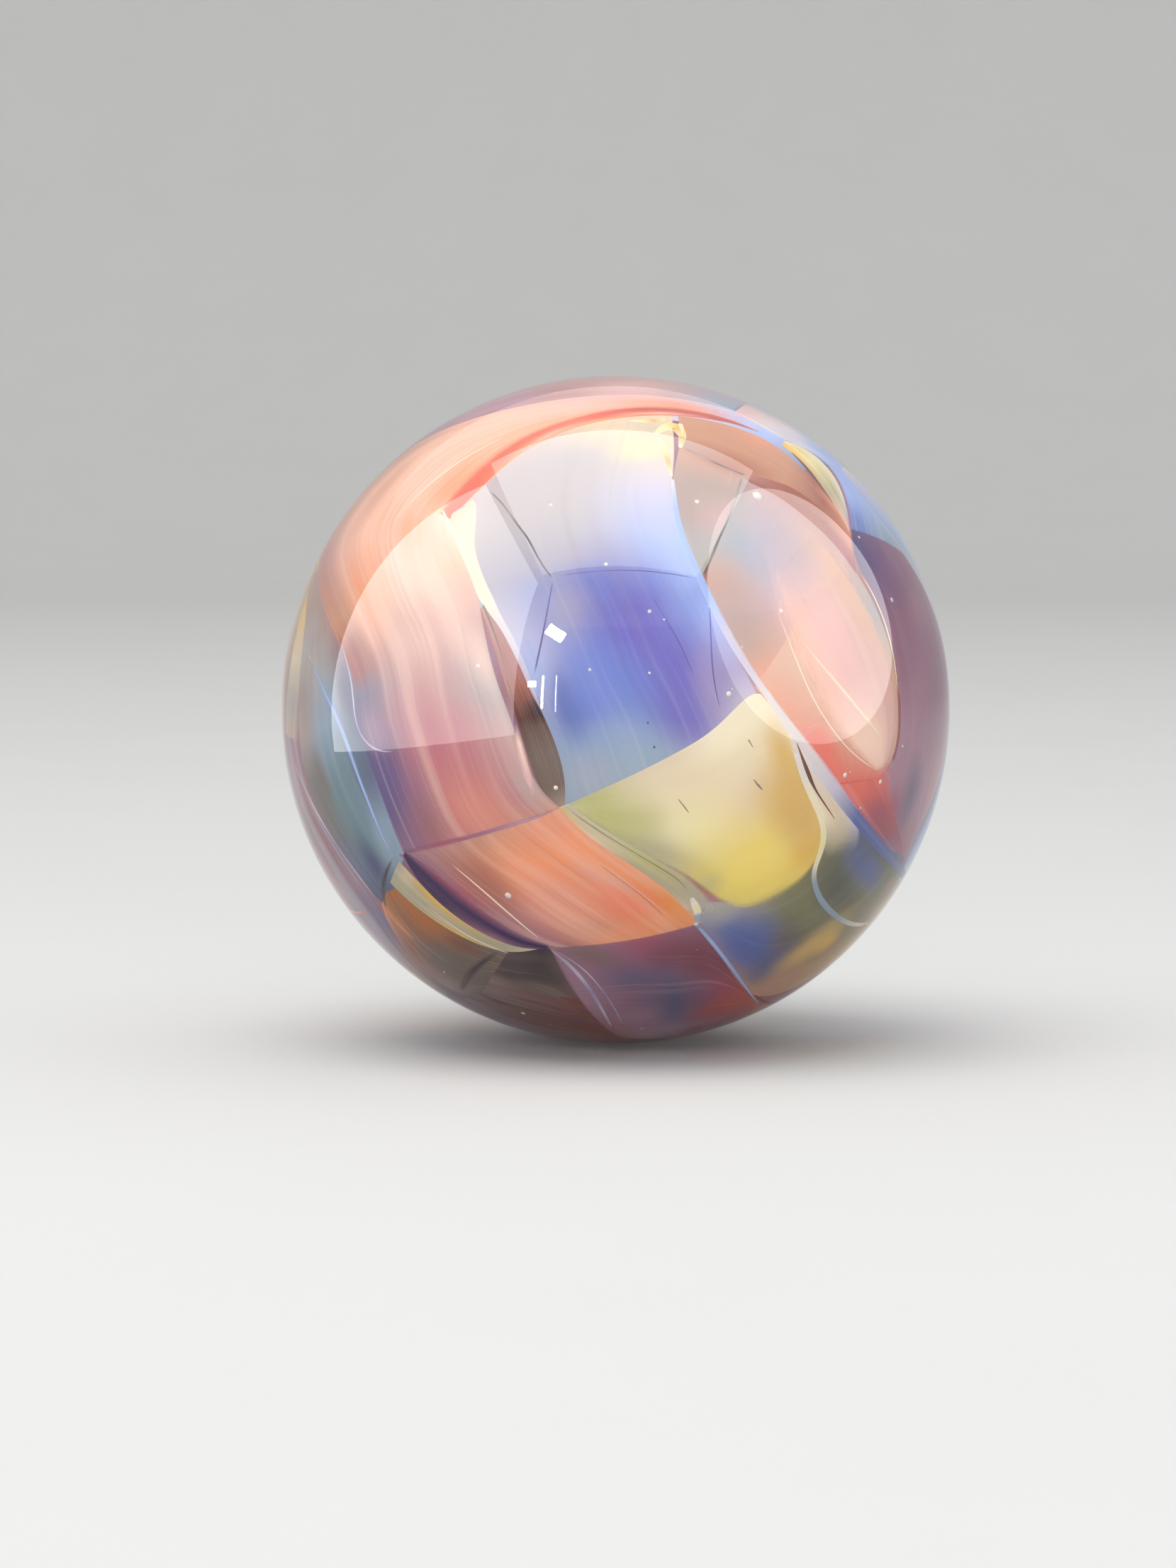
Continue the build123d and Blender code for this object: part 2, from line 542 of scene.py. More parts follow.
veil(FRONT, "violet_band",
     "-24 84, -34 80, -42 74, -46 67, -49 59, -49 50, -47 42, -43 34.5, -39 25,"
     "-34 13, -30 2, -26 -7, -23 -15, -21 -22, -19 -30, -15 -36",
     "17 90, 17.5 84, 18 77, 17 70, 17.5 64, 18.5 57, 21 50, 24 43, 27 37, 30 31, 33 25,"
     "36 19, 39 13, 43 6, 46 0, 46 -8", (92.5, 93.5, 94.5),
     "peach, dove, dove, dove, grey_lilac, lilac_white, grey_lilac, light_steel,"
     "light_steel, light_steel/"
     "beige, dove .15, dove .3, grey_lilac .42, cornflower .48, cornflower .7, light_steel .9,"
     "light_steel/"
     "beige, beige .1, lilac_white .25, sky .42, sky .6, pale_violet .8, white",
     ink="lilac_white", share=0.12, count=5, seed=2.0,
     stains="beige -8 86 12 82 9 .8; pale_yellow 0 79 12 79 5 .5; grey_lilac 3 46 9 .3;"
            "grey_lilac -16 34 -13 28 9 .9; violet 4 33 9 24 19 .95; violet 16 18 22 2 14 .9;"
            "cornflower 2 5 -12 2 14 .9; cobalt -15 4 -12 -5 6 .7; violet 20 -2 25 -7 8 .8;"
            "light_steel 0 -15 14 .7; grey_lilac -8 -20 9 .5; sky -28 18 -24 8 5 .6;"
            "cornflower 26 36 27 26 5 .6; pale_violet 30 12 31 -2 6 .9; grey 10 86 7 .3;"
            "cobalt -17 10 -16 0 3 .5; cornflower -5 13 12 .6")

# Painted light: the cream, pale yellow and lemon of this field paint, in part, light from behind
# shining through the opal glass over its own colour; its crisp top edge against the blue above is
# painted too.
veil(FRONT, "yellow_field",
     "-15.5 -29.5, -8 -26, 0 -22.5, 10 -17.7, 20 -12.5, 27 -8.5, 33 -3.5, 39 3, 44 6.5, 49 1,"
     "53 -6, 56.5 -15",
     "-15.5 -30.5, -5 -37, 5 -42.5, 14 -47, 22 -51, 29 -57, 36 -61.5, 44 -61, 53 -56, 60 -49,"
     "64 -41, 62 -31", (95.2, 96, 95.6),
     "khaki, beige, beige, cream, cream, cream, cream/beige, cream, pale_yellow, beige, ochre, ochre/"
     "khaki, khaki, khaki, moss, lemon, gold, ochre",
     ink="cream", share=0.1, count=3, hair=0.02, soft="0 .05 0 0", seed=2.4,
     stains="moss -7 -30 3 -33 13 .95; khaki 6 -41 20 -48 7 .9; beige 16 -24 30 -22 14 .8;"
            "cream 28 -8 33 -5 7 .5; pale_yellow 26 -34 12 .5; lemon 47 -46 37 -51 20 1;"
            "gold 57 -42 6 .6; ochre 53 -26 57 -34 10 1; ochre 50 -6 54 -18 5 .9;"
            "grey_lilac 33 -61 4 .5; olive 42 -62 56 -55 5 .75; khaki 28 -54 5 .5;"
            "cream 42 2 6 .8; moss 8 -33 8 .5")

veil(FRONT, "khaki_strip",
     "-17.5 -30, -12 -36, -4 -42, 5 -47.5, 13 -53, 19 -58, 23 -63",
     "-14 -28.5, -4 -35, 5 -40, 14 -45, 22 -49.5, 29 -56, 32 -63", (96.4, 96.8, 96.6),
     "ochre, beige, khaki, khaki, beige/khaki, khaki, moss, khaki, grey/khaki, khaki, khaki, grey",
     ink="cream", share=0.3, count=3, soft="0 .3 0 .1", seed=2.6)

veil(FRONT, "orange_foot",
     "-66 -44, -61 -48, -54 -54, -46 -60.5, -38 -66, -30 -70, -20.5 -72.3",
     "-16.5 -30, -12 -35.5, -4 -41.5, 5 -47, 13 -52.5, 20 -58.5, 26.5 -65", (97.2, 96.8, 96.2),
     "plum, plum, raspberry, plum, plum, plum/tan, orange .3, salmon, salmon, orange/"
     "salmon, orange, orange, orange, flame .8, orange",
     ink="peach", share=0.6, count=8, hair=0.08, seed=3.1,
     stains="dusty_rose -58 -42 -45 -40 6 .7; salmon -28 -37 -18 -35 7 .6; coral 2 -58 9 -60 8 .6;"
            "terracotta -42 -47 -36 -55 7 .6; tan -12 -68 0 -66 4 .6; terracotta -50 -47 -34 -60 5 .9;"
            "dusty_pink -10 -47 5 -55 2.5 .6")

veil(FRONT, "taupe_panel",
     "19.5 80.5, 18 74, 17 67, 17.5 60, 20 51, 23 44, 26 39.5",
     "38 71.8, 37.5 69, 36 65, 34 59, 32 53, 29.5 47, 26.5 39.5", (94.2, 94.6, 95.2),
     "tan, taupe, taupe, grey, grey/tan, taupe, dusty_pink, grey, khaki", seed=3.4,
     ink="dusty_pink", share=0.15, count=3, stains="maroon 22 79 37 72.5 3.5 .6; grey 24 52 7 .5")

veil(FRONT, "right_panel",
     "38 72, 35.5 63, 32 53, 26.5 39.5, 30 31, 35 21.5, 40 13, 46 5, 52 -2, 57 -9, 62 -16,"
     "67 -23",
     "43 69, 53 64, 61 57.5, 67 51, 72.5 43, 78 34, 82 24.5, 85 13, 86 2, 86 -8, 84.5 -15,"
     "80 -21", (93.5, 94.2, 94.5),
     "taupe, grey, grey, tan, dusty_rose, tan, salmon, salmon, coral, coral, coral/"
     "dusty_pink, grey_lilac .3, dusty_pink .45, dusty_peach .6, dusty_peach .8, coral/"
     "dusty_rose, dusty_pink, dusty_pink, grey .5, dusty_peach .65, dusty_peach .9, coral",
     ink="lilac_white", share=0.2, count=4, hair=0.03, seed=4.0,
     stains="light_steel 38 53 40 47 7 .6; grey_lilac 42 60 52 34 7 .5; taupe 34 35 42 16 9 .7;"
            "salmon 50 8 56 0 7 .9; coral 60 -8 64 -15 7 .8; dusty_peach 60 54 68 42 8 .5;"
            "grey 75 42 81 27 3 .7; pink 53 24 50 32 4 .4")

veil(FRONT, "peach_inset",
     "66 51, 62.5 43, 59 34, 55 26, 50.5 18.5, 46 12, 42.5 7",
     "70 46, 75 36, 79 26, 81 14, 79 2, 70 -6, 58 -11", (96.2, 96.5, 96.2),
     "dusty_rose, dusty_peach, dusty_peach, dusty_peach, salmon/"
     "dusty_pink, dusty_peach, dusty_peach, dusty_peach, salmon",
     ink="pale_peach", share=0.25, count=4, soft="0 .5 .12 0", seed=4.2)

veil(FRONT, "pale_band",
     "41 56, 44 45, 47 35, 52 22.5, 56.5 11, 61 1, 68 -9.5, 75 -16, 80 -19",
     "50 63, 57 57, 63 51, 71.5 39.5, 78 28, 83 15, 85 2, 84.7 -9.5, 81.5 -18", (97, 97.2, 97),
     "grey_lilac, pink, peach, peach, pale_peach, peach/"
     "pink, dusty_pink, pink, pink, pale_peach, pale_peach/"
     "dusty_pink, dusty_peach, dusty_peach, pink, pink", ink="white", share=0.2, count=3,
     soft=".2 .03 .45 .05", seed=4.4)

veil(FRONT, "tan_panel",
     "19 89, 30 87.3, 40 84.2, 49 79.8, 56 73.5, 62 67, 67.5 61, 71.5 54",
     "19.5 80, 29 76, 38 71.5, 46 69.5, 54 66.5, 61 61, 67 55.5, 71.5 51", (95.5, 95.6, 95.4),
     "tan, tan, salmon, tan, terracotta, salmon, salmon/tan, tan, tan, terracotta, salmon/"
     "taupe, terracotta, tan, terracotta, terracotta", ink="salmon", share=0.3, count=4, seed=3.0)

veil(FRONT, "terracotta_strip",
     "37.5 71.8, 45 70.5, 53 68, 60 63.2, 66 57.5, 71.5 51.5",
     "41 69, 49 65.3, 56 60, 63 54, 68 48.5, 73 41.5", (96.6, 96.8, 96.6),
     "dusty_rose, terracotta, terracotta, salmon/terracotta, terracotta, raspberry",
     ink="tan", share=0.3, count=3, seed=3.2)

veil(FRONT, "cream_lens",
     "50 80, 54 76.5, 58 72.5, 62 67.5, 66 62, 70.5 54.5",
     "51 81, 57.5 78.5, 63.5 73.5, 67.5 67.5, 69.7 61, 71 54", (97.4, 97.6, 97.4),
     "gold, ochre, khaki, peach/gold, pale_yellow .3, khaki, peach/cream, cream, cream, sky",
     ink="cream", share=0.3, count=2, seed=5.0)

veil(FRONT, "sky_rim",
     "36 89.5, 44 85.5, 52 80.5, 60 77.5, 66.5 71, 70 63, 71.5 54.5",
     "40 92.5, 51 86.5, 62 79, 72 70, 81 59.5, 87 50.5, 90 43", (96.6, 96.8, 96.2),
     "pink, white, white, sky, sky, cornflower/pink, white, sky .4, sky, light_steel/"
     "grey_lilac, lilac_white, sky, sky, light_steel, white",
     ink="white", share=0.4, count=4, hair=0.08, seed=7.0,
     stains="lilac_white 50 84 6 .6; cornflower 72 59 5 .6; white 88 46 84 51 2.5 .8")

veil(FRONT, "plum_side",
     "71.5 55, 72 47.5, 75 41, 80 32, 83.5 22, 86 11, 86.8 0, 86.5 -10, 84.5 -16, 83 -24,"
     "85 -36, 87 -47",
     "5 72 90, 14 64 90, 20 53 90, 25 41 90, 28 28 90, 29 14 90, 29 0 90, 27 -14 90,"
     "24 -27 90, 20 -38 90, 15 -48 90, 8 -58 90", (95, 95.6, 94.5),
     "slate, indigo, plum, mauve, mauve, mauve, raspberry/plum, plum, plum, mauve, plum/"
     "light_steel, mauve, rose, plum, dusty_rose, raspberry, plum",
     ink="mauve", share=0.4, count=5, hair=0.03, seed=6.0,
     stains="indigo 74 50 5 .7; plum 87 22 88 8 10 .8; mauve 92 30 10 .4; mauve 90 -12 8 .8;"
            "slate 90 -22 88 -30 7 .7; raspberry 83 -30 8 .8; dusty_rose 96 -15 94 -30 5 .7")

veil(FRONT, "coral_foot",
     "60 -13, 66 -21, 72 -29.5, 78 -37, 84 -44.5, 87 -48.5",
     "84 -14, 87 -20, 89 -27, 90 -34, 90 -40, 88 -47", (93, 93.4, 93.2),
     "coral, coral, raspberry, plum/coral, coral, raspberry, plum/mauve, mauve, slate, plum",
     ink="rose", share=0.2, count=3, seed=5.5,
     stains="coral 66 -18 72 -27 9 1; raspberry 79 -28 82 -34 7 .9; plum 84 -41 6 .8;"
            "mauve 86 -21 6 .8")

veil(FRONT, "smoke_band",
     "22 -60, 30 -58.5, 40 -59.5, 50 -54, 58 -48, 62 -43, 63 -36, 66 -31, 73 -34, 80 -41,"
     "86 -48.5",
     "24 -66, 29 -71, 35 -79, 41 -87.5, 24 -88 40, 34 -80 50, 40 -73 60, 46 -66 60, 46 -58 60,"
     "40 -51 60, 30 -46 60", (93.6, 94, 94.2),
     "khaki, grey, olive, olive, dark_olive, cobalt, cobalt/grey, cobalt, smoke, olive,"
     "dark_olive, cobalt/cobalt, tan, tan, gold, gold, orange, tan",
     ink="khaki", share=0.12, count=3, hair=0.02, seed=9.0,
     stains="cobalt 37 -70 45 -76 13 .95; slate 44 -80 8 .7; olive 56 -60 62 -66 11 .95;"
            "dark_olive 66 -47 70 -57 9 .95; cobalt 72 -40 79 -52 6 .95; grey 33 -61 6 .8;"
            "ochre 53 -77 66 -67 8 1; gold 64 -71 5 .9; tan 47 -83 56 -80 6 .9;"
            "terracotta 82 -54 4 .9; khaki 67 -38 5 .8; smoke 52 -71 8 .7; tan 78 -61 4 .7")

veil(FRONT, "cream_tongue",
     "51 -3, 54.5 -11, 56.5 -19, 60.5 -27, 63 -34, 63 -41, 65 -46",
     "54.5 -5, 60 -13, 65 -20.5, 70 -28, 74.5 -34, 75 -40, 71 -45", (97.2, 97.4, 97.2),
     "white, beige, beige, cream, beige, khaki/white, white, beige, beige, khaki/"
     "white, white, white, lilac_white, light_steel",
     ink="white", share=0.4, count=3, soft="0 .12 0 .4", seed=5.7)

veil(FRONT, "plum_foot",
     "-21 -71, -10 -68.7, 0 -66.6, 8 -65.4, 17 -65, 25.5 -65, 31 -71, 37 -79, 42 -87.5, 47 -89",
     "1 -98.5, 6 -99, 11 -98.9, 16 -98.5, 21 -98, 28 -96, 35 -94, 40 -92, 44 -90.5, 48 -89",
     (93.2, 93.6, 93.4),
     "plum, plum, raspberry, plum, maroon, raspberry, red/mauve, plum, slate, raspberry, red, coral/"
     "terracotta, mauve, mauve, raspberry, red, coral",
     ink="rose", share=0.2, count=5, seed=10.0,
     stains="terracotta -3 -69 12 -67 5 .6; maroon 22 -73 28 -77 9 .9; smoke -14 -74 0 -78 6 .7;"
            "slate 0 -83 10 -82 8 .7; mauve 6 -93 8 .7; red 30 -90 40 -87 8 .9;"
            "dark_red 24 -96 5 .8; maroon 15 -76 6 .6; raspberry 32 -83 5 .6")

veil(FRONT, "smoky_bottom",
     "-46 -72, -36 -72.5, -28 -73.5, -20 -72.5, -14 -76, -9 -82, -4 -90, 1 -97",
     "-48 -86.5, -41 -90.5, -34 -93.5, -27 -95.8, -19 -97.8, -10 -99, 0 -99.7, 6 -99.6",
     (91, 91.4, 91),
     "soot, soot, soot, smoke, plum, rust/smoke, dark_brown, smoke, maroon, rust/"
     "taupe, smoke, rust, rust, rust",
     ink="taupe", share=0.3, count=3, seed=10.4,
     stains="soot -36 -74 -18 -82 6 .9; taupe -36 -84 8 .6; maroon -20 -91 9 .6;"
            "rust -8 -97 6 .8; soot -44 -80 3.5 .8; taupe -42 -87 5 .4")

veil(FRONT, "amber_wedge",
     "-68 -52, -62 -58, -54 -64.5, -46 -69, -38 -72, -33 -74",
     "-71 -59, -67 -69, -60 -77, -53 -82.5, -46 -86.5, -41 -86", (94.4, 94.8, 94.4),
     "amber, amber, smoke, smoke/amber, smoke, smoke/orange, terracotta, taupe, smoke",
     ink="rust", share=0.4, count=4, seed=13.0,
     stains="amber -63 -61 -56 -66 8 .9; smoke -50 -77 8 .8; rust -50 -70 -42 -73 4 .7;"
            "flame -69 -61 -63 -68 3 .7")

veil(FRONT, "khaki_rim",
     "-66 -46, -60 -52.3, -52.5 -59.8, -44.5 -65.8, -37 -69.8, -29.5 -72.5, -23 -72.9",
     "-68.5 -52.5, -63 -58, -56 -63.5, -47 -69, -39 -72.5, -31 -74.2, -24 -73", (96.2, 96.4, 96.2),
     "khaki, gold, ochre, khaki, khaki/khaki, khaki, khaki, khaki, beige/"
     "khaki, khaki, gold, khaki, ochre",
     ink="cream", share=0.3, count=4, hair=0.1, seed=12.0,
     stains="beige -64 -50 4 .7; gold -50 -60 -40 -67 2.5 .6")

veil(FRONT, "violet_crescent",
     "-64 -42.5, -58 -45.5, -51 -51.5, -43 -58, -35 -64, -28 -68.5, -20.5 -71.5",
     "-64.5 -44.5, -60 -52.3, -52.5 -59.8, -44.5 -65.8, -37 -69.8, -29.5 -72.5, -20.5 -72.9",
     (97.6, 97.8, 97.6),
     "plum, raspberry, raspberry, plum, plum/deep_violet, deep_violet/"
     "deep_violet, deep_violet, plum, deep_violet",
     ink="raspberry", share=0.15, count=3, hair=0.02, soft=".2 .05 0 0", seed=11.0)

veil(FRONT, "steel_side",
     "-91 42, -93 30, -94.5 20, -95.5 8, -96 -4, -95 -15, -92 -27, -86 -38, -79 -49, -71 -59,"
     "-68 -60",
     "-86 42, -84 30, -82 19, -79 9, -78 -1, -76 -11, -72 -22, -68 -32, -65 -40, -64 -45,"
     "-67 -52", (94, 94.6, 95),
     "tan, taupe, grey, taupe, taupe, smoke, smoke, slate, navy, navy/"
     "taupe, taupe, grey, light_steel, teal, teal, steel, navy/"
     "tan, dusty_rose, slate, slate, slate, light_steel, light_steel, slate",
     ink="light_steel", share=0.3, count=4, hair=0.04, seed=8.0,
     stains="slate -83 10 -80 2 5 .9; light_steel -89 10 -85 -4 5 .8; teal -84 -14 -78 -34 8 .8;"
            "smoke -91 -15 -87 -26 5 .8; navy -76 -41 -72 -50 5 .95; light_steel -72 -33 -69 -44 4 .9;"
            "grey -92 24 5 .5; taupe -94 -4 5 .6; steel -80 -8 -76 -18 5 .6")

veil(FRONT, "left_rim",
     "-86 51, -91 42, -95 32, -98 21, -99.6 9, -99.8 -4, -99 -14, -97.5 -22",
     "-82 52, -87 42, -90 32, -92 20, -93 8, -94.5 -2, -96 -12, -96 -20", (93, 93.4, 93.4),
     "tan, ochre, gold, beige, khaki, tan, plum/taupe, ochre, ochre, beige, grey, tan, plum/"
     "taupe, taupe, grey, grey, taupe, taupe, plum",
     ink="cream", share=0.3, count=3, soft="0 .3 0 0", seed=8.3)

veil(FRONT, "lower_left_rim",
     "-96.5 -9, -94.5 -20, -91 -30, -84.5 -41, -78 -50.5, -71 -59.5, -66 -69, -59 -77, -51 -84",
     "-99.8 -6, -98.5 -19, -94.5 -33, -89 -45, -82 -57, -74 -67, -67 -74.5, -59 -81, -50 -86.8",
     (95.6, 95.8, 95.4),
     "plum, raspberry, maroon, plum, indigo, terracotta, smoke/maroon, plum, maroon, raspberry,"
     "plum, mauve, terracotta, smoke",
     ink="grey_lilac", share=0.6, count=6, hair=0.1, seed=8.6,
     stains="raspberry -90 -37 -86 -44 5 .6; grey_lilac -83 -53 -79 -58 4 .5; indigo -70 -61 3 .8")

# Painted shade: this sheet paints a narrow gap into the ball's depth, rose-brown glass darkening to
# dark brown and smoke, with a soot spot at -25 1 for the darkest shade.
veil(FRONT, "maroon_sliver",
     "-41.5 31, -38 22, -35 11, -32 2, -29 -8, -26 -18, -22 -27, -17 -31.5",
     "-40 33, -33.5 22, -28.5 11.5, -25 4, -21 -4, -17 -14, -15.3 -23, -15.5 -30.5", (95, 95, 95),
     "dusty_rose, dusty_rose, terracotta, dark_brown, smoke, smoke, taupe", ink="dark_brown",
     share=0.3, count=3, seed=14.0, stains="soot -25 1 3.5 .9; terracotta -34 19 6 .5")

thread("cream_edge", 98.6, "pale_peach, cream, cream, white, lilac_white, lilac_white", "0 0 0 .2",
       ("-52.5 60.5, -49 53.5, -45.5 46.5, -42.3 40, -39.8 34.5, -36.5 29, -32 22, -28 13,"
        "-25 5, -22 -2", ".3 .6 .9 1.4 2.2 1.1 .9 .8 .6 .2"))
thread("sky_edge", 98.4, "white, sky, sky, sky, sky, lilac_white, lilac_white, white, white,"
       "white, lilac_white, cobalt, cobalt, slate", ".3 .1 0 0",
       ("17.3 70, 18 62, 20 53, 23.5 45, 27 37.5, 31 29, 36 20, 41 12, 46 5, 51 -2, 57 -10.5,"
        "63 -18.5, 69 -27, 75 -35, 81 -42.5, 86.5 -49.5",
        ".6 .9 1.2 1.3 1.4 1.5 1.5 1.3 1.2 1.5 2.2 2.6 2.6 2.3 2 1.4"))
thread("hook", 98.7, "white, white, cream, cream, pale_yellow, cream, light_steel, light_steel,"
       "light_steel, cream, peach", ".15 .15 .05 .1",
       ("54 -9, 56.5 -19, 60 -27, 63.3 -34, 63.3 -41, 60.5 -47, 59.8 -52, 62 -58, 66.5 -62.5,"
        "72 -65, 78.5 -62.5", ".9 1.3 1.3 1.3 1.3 1.1 1 1.1 1.1 .9 .6"),
       ("23 -57, 24.5 -60, 25.5 -63, 24 -66", ".6 1.6 1.2 .4"))
thread("dark_slits", 98.9, "rust, dark_brown, rust", "0 0 0 0",
       ("55.2 -10, 57 -15, 58.7 -19.5, 60.5 -24, 63.5 -28.5, 66.5 -33", ".12 .45 .8 .25 .3 .1"),
       ("53 77.5, 57 73.6, 61 68.6, 65.5 62.5", ".3 .9 .6 .15"),
       ("42 -86, 46 -88, 50 -88.7", ".3 .5 .2"))
thread("dark_seams", 98.1, "smoke, taupe, soot, smoke, soot", ".4 .4 .1 .1",
       ("20.5 79.3, 28 75.8, 34 73, 39.5 71", ".4 .5 .4 .7"),
       ("38.5 71, 36.8 66, 35.2 60, 32 53.5, 30.2 49, 28.2 44, 26 39.8", ".3 .5 .3 .4 .65 .4 .5"),
       ("-38.5 66.7, -34 62.5, -30.5 57, -27 53, -24.5 48, -22 43.5, -19 40",
        ".4 .3 .4 .5 .4 .3 .3"))
thread("dark_knots", 98.1, "smoke, soot, soot, dark_brown, soot", ".5 .5 .2 .2",
       ("-67 -44, -70 -50, -70.5 -56, -69 -61", ".5 1.2 1.4 .6"),
       ("-35 -73, -41 -76.5, -45 -80.5, -46.5 -85", ".8 1.6 1.9 1"))
thread("fine_dark_lines", 98.3, "smoke, olive, smoke, plum", ".3 .3 .1 .15",
       ("-15 -30, -5 -37, 5 -43, 14 -48.3, 20 -52, 22.5 -56", ".1 .22 .15 .2 .2 .1"),
       ("-42.5 41.5, -41 37, -40.6 32.5, -37 24, -34 14, -31.5 4", ".1 .4 .5 .2 .15 .1"),
       ("42 -21, 43.5 -23, 45 -24.5", ".1 .5 .1"), ("19 -27, 21 -29.5, 22.5 -31.5", ".1 .3 .1"),
       ("40.5 -9, 42 -11.5", ".3 .1"), ("-5 -47, 8 -56, 15 -63", ".1 .15 .1"))
thread("plum_seam", 98.35, "plum, raspberry, plum, mauve, plum", ".5 .5 .1 .15",
       ("-65 -43.6, -52 -40.5, -40 -37.5, -28 -34, -17 -30", ".6 1.5 1.2 1.2 1.1 .5"))
thread("violet_lines", 98.2, "cobalt, violet, indigo, slate", ".3 .3 .15 .15",
       ("-19 40, -20.5 32, -22.3 22, -25 10", ".2 .3 .3 .4"),
       ("28.5 34, 29 24, 29.3 14, 30.5 6, 32 0", ".1 .25 .3 .2 .1"),
       ("11 35, 15 28, 20 20, 24 10", ".1 .25 .2 .1"),
       ("-18 40.8, -8 42.2, 3 42.8, 14 42, 25 40", ".15 .2 .2 .2 .15"))
thread("blue_lines", 98.8, "light_steel, sky, sky, sky, light_steel", ".35 .35 .1 .1",
       ("-93 18, -88.5 7, -84 -3, -81 -11, -78 -20, -74 -30, -71 -38, -66.5 -46",
        ".3 .8 1.2 1.3 .8 .9 .6 .2"),
       ("24 -64.5, 29 -70, 35 -77.5, 40 -84.5, 44 -89", ".6 .9 .8 .5 .3"))
thread("lilac_lines", 98.9, "mauve, grey_lilac, lilac_white, pale_violet, lilac_white, mauve",
       ".3 .3 .1 .1",
       ("-97.5 -13, -94 -22.5, -89.5 -32, -84 -41, -77.5 -50, -71 -58.5",
        ".5 1.1 1 .7 .6 .3"),
       ("-84 24, -81 14, -79.6 6, -79.3 -2, -77 -9, -72 -13, -66 -12.5",
        ".2 .4 .5 .4 .4 .4 .2"),
       ("-21 -71.5, -14 -77, -9 -82.5, -4.5 -89, 0 -97", ".4 1 .9 .8 .4"),
       ("-20 -72, -11 -77, -5 -83, 0 -90, 3 -96", ".2 .3 .3 .2 .2"))
thread("pale_lines", 99, "peach, pale_peach, cream, cream, pale_peach", ".3 .3 .15 .15",
       ("53.5 25.5, 60 16.5, 67.8 7.5, 74 0, 80 -7.5, 83 -13", ".1 .4 .6 .6 .4 .1"),
       ("47 35, 52 22.5, 56.5 11, 61 1, 68 -9.5, 75 -16, 80.5 -19", ".1 .3 .4 .3 .3 .3 .1"),
       ("-52 -45, -44 -51.5, -36 -58.5, -28 -65.5, -21 -71", ".1 .4 .5 .4 .1"),
       ("-60 -57, -52 -63.5, -44 -69, -36 -72.5, -31 -74.3", ".1 .3 .4 .3 .1"),
       ("73 43, 78 35, 82 25, 84.5 14, 85.5 3", ".1 .5 .6 .5 .1"),
       ("-70 53, -60 65, -46 76, -30 84", ".1 .4 .4 .1"))
thread("pale_haze", 98, "pale_peach, pale_peach, pink, pink", ".5 .5 .3 .3",
       ("-31 -3, -29 -12, -26.5 -20, -25 -28", ".6 1.6 1.8 .8"))
# Painted highlight: the middle line of this bundle, at -77 -61, paints a gold glint as a short bright
# line.
thread("flame_lines_and_painted_glint", 98.7, "flame, orange, flame", ".3 .3 .1 .1",
       ("-70 -58.5, -67.5 -63, -63 -67.5, -60 -69.5", ".3 .7 .4 .1"),
       ("-80 -60, -77 -61, -74.5 -60.7", ".2 .8 .2"), ("-62 -70, -57 -77, -52 -80.5", ".1 .25 .1"))
thread("knob_folds", 98.6, "cream, pale_yellow, ochre, cream", "0 0 0 0",
       ("12 83.5, 15.5 86, 19 85.5, 20.5 82", ".5 2 2.4 .8"),
       ("19.5 86.5, 20.3 82.5, 19.5 79.5", ".6 1.3 .5"),
       ("13 82.5, 14.5 79, 16 75.5, 17 71", ".5 .9 .7 .4"),
       ("4 87.5, 10 87, 15 87.8", ".2 1.2 .6"))

# rear_yellow carries yellow_field's painted light from behind onto the back.
BACK = {"salmon_sweep": "west_sweep", "violet_band": "rear_band", "orange_foot": "rear_orange",
        "right_panel": "rear_panel", "tan_panel": "rear_tan", "coral_foot": "rear_coral",
        "smoke_band": "rear_smoke", "yellow_field": "rear_yellow", "khaki_rim": "rear_khaki",
        "violet_crescent": "rear_crescent", "sky_rim": "rear_sky", "plum_foot": "rear_plum",
        "coral_streak": "rear_streak", "peach_tongue": "rear_tongue",
        "steel_side": "rear_steel", "amber_wedge": "rear_amber", "plum_side": "rear_side"}
BACK_TURN = 180.0
BOTH_SIDES = ("cream_edge", "sky_edge", "hook", "blue_lines", "lilac_lines", "pale_lines")
BACK_SINK = 0.0008
CUT_STRAIGHT = ("salmon_sweep", "violet_band", "orange_foot", "yellow_field")

veil(ROUND, "east_fold",
     "-34 66 90, -30 52 90, -22 40 90, -14 26 90, -10 10 90, -12 -8 90, -20 -24 90, -30 -38 90,"
     "-36 -52 90",
     "-8 78 90, 0 62 90, 8 46 90, 12 28 90, 12 8 90, 8 -12 90, 0 -30 90, -8 -46 90, -12 -62 90",
     (97, 97.4, 97),
     "sky, light_steel, lilac_white, cornflower, violet, slate, cobalt/"
     "lilac_white, sky, white, pale_violet, lilac_white, cornflower, sky/"
     "white, lilac_white, sky, pale_violet, white, light_steel",
     ink="white", share=0.35, count=6, seed=20.0)
veil(ROUND, "east_amber",
     "8 46 90, 12 28 90, 12 8 90, 8 -12 90, 0 -30 90, -8 -46 90",
     "26 50 90, 34 32 90, 36 10 90, 32 -14 90, 22 -34 90, 10 -50 90", (96.2, 96.4, 96.2),
     "ochre, orange, salmon, coral, orange, gold/pale_yellow, peach, salmon, peach, ochre/"
     "gold, orange, coral, salmon, ochre", ink="cream", share=0.35, count=6, seed=21.0)
